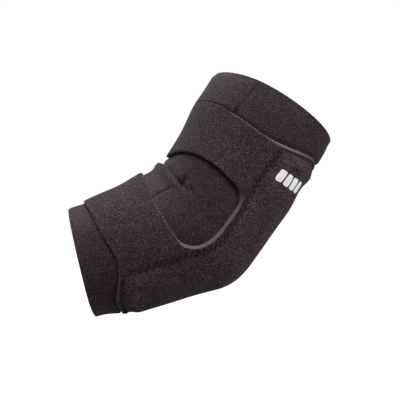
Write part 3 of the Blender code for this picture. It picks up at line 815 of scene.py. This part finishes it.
def sunk_by_thread(s, theta, thread_s, thread_theta, edge_distance):
    """How deep the thread pulls the cloth in at each place."""
    place = np.stack([theta * MM_PER_DEGREE, s * 1000], 1)
    thread = np.stack([thread_theta * MM_PER_DEGREE, thread_s * 1000], 1)
    near = np.nonzero(stitch_distance(s, theta) < 0.004)[0]
    depth = np.zeros(len(s))
    for start in range(0, len(near), 2000):
        block = near[start:start + 2000]
        apart = np.linalg.norm(place[block][:, None] - thread[None], axis=2).min(1)
        depth[block] = STITCH_SINK * np.exp(-((apart / 0.6) ** 2))
    return depth * smooth((edge_distance - 0.7) / 0.8)


def build_overlay(thread_s, thread_theta):
    s, theta, quads = overlay_layout()
    out_s, out_theta, distance = lean_back(s, theta, quads)
    lift = overlay_outside(out_s, out_theta) - 0.00030 * np.exp(-distance / 0.6)
    lift = lift - sunk_by_thread(out_s, out_theta, thread_s, thread_theta, distance)
    outside = lifted(out_s, out_theta, lift)
    inside = lifted(s, theta, overlay_under(s, theta))
    obj = shell("overlay", outside, inside, quads, [OVERLAY, LINING, CUT_FOAM], fabric_uv(s, theta))
    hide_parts("back_panel", "upper_strap", "lower_strap")
    return obj


def build_panel_stitching(s, theta, side):
    lift = overlay_outside(s, theta) - STITCH_SINK + 0.00030 - 0.00040 * smooth((side - 0.6) / 0.4)
    obj = tube("panel_zigzag", lifted(s, theta, lift), PANEL_THREAD_RADIUS, THREAD)
    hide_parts("panel_stitching")
    return obj


def build_pad():
    theta = np.linspace(PAD_SIDE, 360 - PAD_SIDE, 70)
    share = np.linspace(0, 1, 80)[:, None]
    low, high = overlay_top(theta) + PAD_END, overlay_bottom(theta) - PAD_END
    s = low + (high - low) * share
    theta = theta + 0 * s
    edge = np.minimum(np.minimum(s - low, high - s) * 1000, (68 - np.abs(theta - 180)) * MM_PER_DEGREE)
    rounded = 0.0006 * np.exp(-edge / 0.8)
    base = GAP + drape(s, theta)
    height = pad_thickness(s, theta) * panel_share(s, theta) - rounded
    outside = lifted(s, theta, base + np.maximum(height, 0.0002)).reshape(-1, 3)
    inside = lifted(s, theta, base).reshape(-1, 3)
    obj = shell("pad", outside, inside, grid_quads(*s.shape), [PAD_FOAM] * 3, fabric_uv(s, theta))
    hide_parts("foam_pad")
    return obj


# ---------------------------------------------------------------- strap ends
def tab_layout(span, start, tip, margin, rows=26, columns=44):
    theta = start + (tip - start) * edge_spaced(columns, 0.4)
    corner = 0.006 * fillet(-theta, -tip - 8, -tip)
    low, high = span[0] + margin + corner, span[1] - margin - corner
    s = low + (high - low) * edge_spaced(rows, 0.4)[:, None]
    return s[:, ::-1], (theta + 0 * s)[:, ::-1]


def layer(name, s, theta, under, thickness, finishes):
    """A flat piece of cloth laid over a grid of places, from its underside's height up."""
    outside = lifted(s, theta, under + thickness).reshape(-1, 3)
    inside = lifted(s, theta, under).reshape(-1, 3)
    return shell(name, outside, inside, grid_quads(*s.shape), finishes, fabric_uv(s, theta))


def tab_under(s, theta, tab_lift):
    """Height of a tab's underside: on the patches, and stepping up over the end of its strap."""
    over_strap = smooth((theta + 59.5) / 3.0)
    step = GAP + OVERLAY_THICKNESS + 0.00015 - tab_lift
    return drape(s, theta) + tab_lift + over_strap * step


def build_tab(place, span):
    """A strap's end: the loop patch it closes on, and the tab with its hook tape and stitching."""
    loop_lift, hook_lift = GAP, 2 * GAP + PATCH_THICKNESS
    tab_lift = 3 * GAP + 2 * PATCH_THICKNESS
    made = []

    s, theta = tab_layout(span, LOOP_ROOT, LOOP_TIP, 0.0)
    under = drape(s, theta) + loop_lift
    loop = layer(f"{place}_loop_pile", s, theta, under, PATCH_THICKNESS, [LOOPS, LINING, LOOPS])
    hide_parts(f"{place}_loop_patch")
    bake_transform(loop)

    s, theta = tab_layout(span, HOOK_ROOT, HOOK_TIP, HOOK_MARGIN)
    under = drape(s, theta) + hook_lift
    hook = layer(f"{place}_hook_tape", s, theta, under, PATCH_THICKNESS, [HOOKS] * 3)
    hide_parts(f"{place}_hook_patch")
    made.append(hook)

    s, theta = tab_layout(span, TAB_OVERLAP, TAB_TIP, 0.0, 30, 60)
    under = tab_under(s, theta, tab_lift)
    cloth = layer(f"{place}_tab", s, theta, under, TAB_THICKNESS, [TAB_CLOTH, LINING, CUT_FOAM])
    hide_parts(f"{place}_strap_tab")
    made.append(cloth)

    low, high = span[0] + TAB_STITCH_MARGIN, span[1] - TAB_STITCH_MARGIN
    far, near = TAB_STITCH_FAR, TAB_STITCH_NEAR
    across = np.linspace(low, high, 12)
    round_tab = np.linspace(near, far, 20)
    path = [(low, a) for a in round_tab] + [(s0, far) for s0 in across[1:-1]]
    path += [(high, a) for a in round_tab[::-1]] + [(s0, near) for s0 in across[-2:0:-1]]
    s, theta, side = zigzag_points(path, TAB_STITCH_PITCH_MM, lambda s, theta: TAB_STITCH_SWING_MM)
    lift = tab_under(s, theta, tab_lift) + TAB_THICKNESS + 0.00018 - 0.00026 * smooth((side - 0.6) / 0.4)
    sewn = tube(f"{place}_tab_zigzag", lifted(s, theta, lift), TAB_THREAD_RADIUS, THREAD)
    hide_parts(f"{place}_tab_stitching")
    made.append(sewn)
    for piece in made:
        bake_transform(piece)


# ---------------------------------------------------------------- print
def build_print_block(number, middle):
    """One rounded block of a plain printed row on the back panel; there is no lettering."""
    columns, rows, power = 16, 22, 6.0
    x, y = np.meshgrid(np.linspace(-1, 1, columns), np.linspace(-1, 1, rows))
    norm = (np.abs(x) ** power + np.abs(y) ** power) ** (1 / power)
    size = np.maximum(np.abs(x), np.abs(y)) / np.maximum(norm, 1e-9)
    theta = middle + PRINT_HALF_WIDTH * x * size
    s = PRINT_MIDDLE - PRINT_SLOPE * (theta - PRINT_START) + PRINT_HALF_HEIGHT * y * size
    lift = overlay_outside(s, theta)
    obj = layer(f"print_block_{number}", s, theta, lift + 0.00003, 0.00009, [INK] * 3)
    return obj


# ---------------------------------------------------------------- panel swelling, by cloth simulation
def simulate_swell():
    """Swell the panel, sewn down along its stitching, over the foam; returns the rise at each map place."""
    v = np.linspace(0, 1, SWELL_ROWS)[:, None]
    theta = np.linspace(PANEL_STITCH, 360 - PANEL_STITCH, SWELL_COLUMNS)
    top, bottom = overlay_top(theta) + END_STITCH, overlay_bottom(theta) - END_STITCH
    s = top + (bottom - top) * v
    theta = 180 + (theta - 180) * (180 - stitch_angle(s)) / (180 - PANEL_STITCH)
    start = lifted(s, theta, overlay_outside(s, theta)).reshape(-1, 3)
    normal = surface_normal(s, theta).reshape(-1, 3)
    mesh = bpy.data.meshes.new("swell")
    quads = [tuple(map(int, q)) for q in grid_quads(*s.shape)]
    mesh.from_pydata([tuple(p) for p in start], [], quads)
    sheet = bpy.data.objects.new("swell", mesh)
    scene = bpy.context.scene
    scene.collection.objects.link(sheet)
    edge = np.zeros(s.shape, bool)
    edge[[0, -1], :] = edge[:, [0, -1]] = True
    sewn = [int(i) for i in np.nonzero(edge.ravel())[0]]
    sheet.vertex_groups.new(name="sewn").add(sewn, 1.0, "REPLACE")
    cloth = sheet.modifiers.new("cloth", "CLOTH").settings
    cloth.vertex_group_mass = "sewn"
    cloth.quality, cloth.mass = 6, 0.2
    cloth.tension_stiffness = cloth.compression_stiffness = 20.0
    cloth.bending_stiffness = 2.0
    cloth.shrink_min = -0.012
    cloth.use_pressure, cloth.uniform_pressure_force = True, 4.0
    cloth.effector_weights.gravity = 0.0
    for frame_number in range(1, SWELL_FRAMES + 1):
        scene.frame_set(frame_number)
    moved = sheet.evaluated_get(bpy.context.evaluated_depsgraph_get()).data
    after = np.zeros(len(start) * 3)
    moved.vertices.foreach_get("co", after)
    rise = ((after.reshape(-1, 3) - start) * normal).sum(1).reshape(s.shape)
    scene.frame_set(1)
    bpy.data.objects.remove(sheet, do_unlink=True)
    bpy.data.meshes.remove(mesh)
    print("panel swell, mm:", round(rise.min() * 1000, 2), round(rise.max() * 1000, 2))
    return SWELL_LIMIT * np.tanh(rise / SWELL_LIMIT)


swell_map[:] = simulate_swell()
thread_line = zigzag_points(panel_path(), STITCH_PITCH_MM, panel_swing)
elbow_pieces = [
    build_sleeve(),
    build_seam("lateral_seam", 1),
    build_seam("medial_seam", -1),
    build_pad(),
    build_overlay(*thread_line[:2]),
    build_panel_stitching(*thread_line),
]
elbow_pieces += [build_print_block(i + 1, PRINT_FIRST + PRINT_SPACING * i) for i in range(PRINT_BLOCKS)]
for piece in elbow_pieces:
    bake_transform(piece)
build_tab("upper", UPPER_TAB)
build_tab("lower", LOWER_TAB)


# ---------------------------------------------------------------- stage, light and camera
def stage_material(name, color, glow):
    """Pale backdrop: the camera sees it evenly lit, and the object is lit by a dimmer one."""
    n = Nodes(name)
    path = n.add("ShaderNodeLightPath").outputs["Is Camera Ray"]
    n.set(color=color, rough=1.0, spec=0.0)
    n.feed(n.shader.inputs["Emission Color"], (1, 1, 1, 1))
    n.feed(n.shader.inputs["Emission Strength"], n.maths("MULTIPLY", path, glow))
    return n.material


# The floor lies just below the forearm's lowest reach, with the arm straight.
FLOOR_HEIGHT, FLOOR_REACH = -0.045, 6.0
corners = [(x * FLOOR_REACH, y * FLOOR_REACH, FLOOR_HEIGHT) for x, y in ((-1, -1), (1, -1), (1, 1), (-1, 1))]
pale_floor = stage_material("pale_floor", (0.20, 0.20, 0.20, 1), 0.97)
floor = make_mesh("floor", corners, [(0, 1, 2, 3)], [pale_floor])

world = bpy.data.worlds.new("studio")
bpy.context.scene.world = world
world.use_nodes = True
tree = world.node_tree
backdrop = tree.nodes["Background"]
# The room is brighter overhead than below.
direction = tree.nodes.new("ShaderNodeTexCoord")
height = tree.nodes.new("ShaderNodeSeparateXYZ")
tree.links.new(direction.outputs["Generated"], height.inputs["Vector"])
room = tree.nodes.new("ShaderNodeMapRange")
for end, place, light in ("Min", -0.6, 0.08), ("Max", 0.9, 0.25):
    room.inputs[f"From {end}"].default_value = place
    room.inputs[f"To {end}"].default_value = light
tree.links.new(height.outputs["Z"], room.inputs["Value"])
path = tree.nodes.new("ShaderNodeLightPath")
strength = tree.nodes.new("ShaderNodeMapRange")
tree.links.new(room.outputs["Result"], strength.inputs["To Min"])
strength.inputs["To Max"].default_value = 1.0
tree.links.new(path.outputs["Is Camera Ray"], strength.inputs["Value"])
tree.links.new(strength.outputs["Result"], backdrop.inputs["Strength"])
backdrop.inputs["Color"].default_value = (1.0, 1.0, 1.0, 1.0)

LIGHT_SIZE = 0.5
AZIMUTH, ELEVATION, ROLL, DISTANCE = -8.709, 2.114, -11.814, 0.42106
TARGET = ELBOW + np.array([0.00804, 0.0, 0.01882])
az, el, roll = map(math.radians, (AZIMUTH, ELEVATION, ROLL))
back = np.array([math.sin(az) * math.cos(el), -math.cos(az) * math.cos(el), math.sin(el)])
level = np.array([math.cos(az), math.sin(az), 0.0])
right = math.cos(roll) * level + math.sin(roll) * np.cross(back, level)
up = np.cross(back, right)

camera = bpy.data.objects.new("camera", bpy.data.cameras.new("camera"))
bpy.context.scene.collection.objects.link(camera)
camera.data.lens, camera.data.sensor_width = 50.0, 36.0
camera.data.clip_start, camera.data.clip_end = 0.02, 50.0
turn = Matrix((right, up, back)).transposed().to_4x4()
camera.matrix_world = Matrix.Translation(Vector(TARGET + back * DISTANCE)) @ turn
bpy.context.scene.camera = camera


def area_light(name, offset, power):
    """A soft box; offset is (right, up, towards the camera) from the object, in metres."""
    light = bpy.data.lights.new(name, "AREA")
    light.shape, light.size, light.energy = "SQUARE", LIGHT_SIZE, power
    lamp = bpy.data.objects.new(name, light)
    bpy.context.scene.collection.objects.link(lamp)
    place = TARGET + right * offset[0] + up * offset[1] + back * offset[2]
    lamp.location = Vector(place)
    lamp.rotation_euler = Vector(TARGET - place).to_track_quat("-Z", "Y").to_euler()


area_light("key", (0.0, 1.2, 0.55), 9.8)
area_light("rim", (-0.35, 1.1, -0.35), 5.5)
area_light("fill", (1.15, 0.45, 0.5), 5.9)
bpy.context.scene.view_settings.view_transform = "Standard"
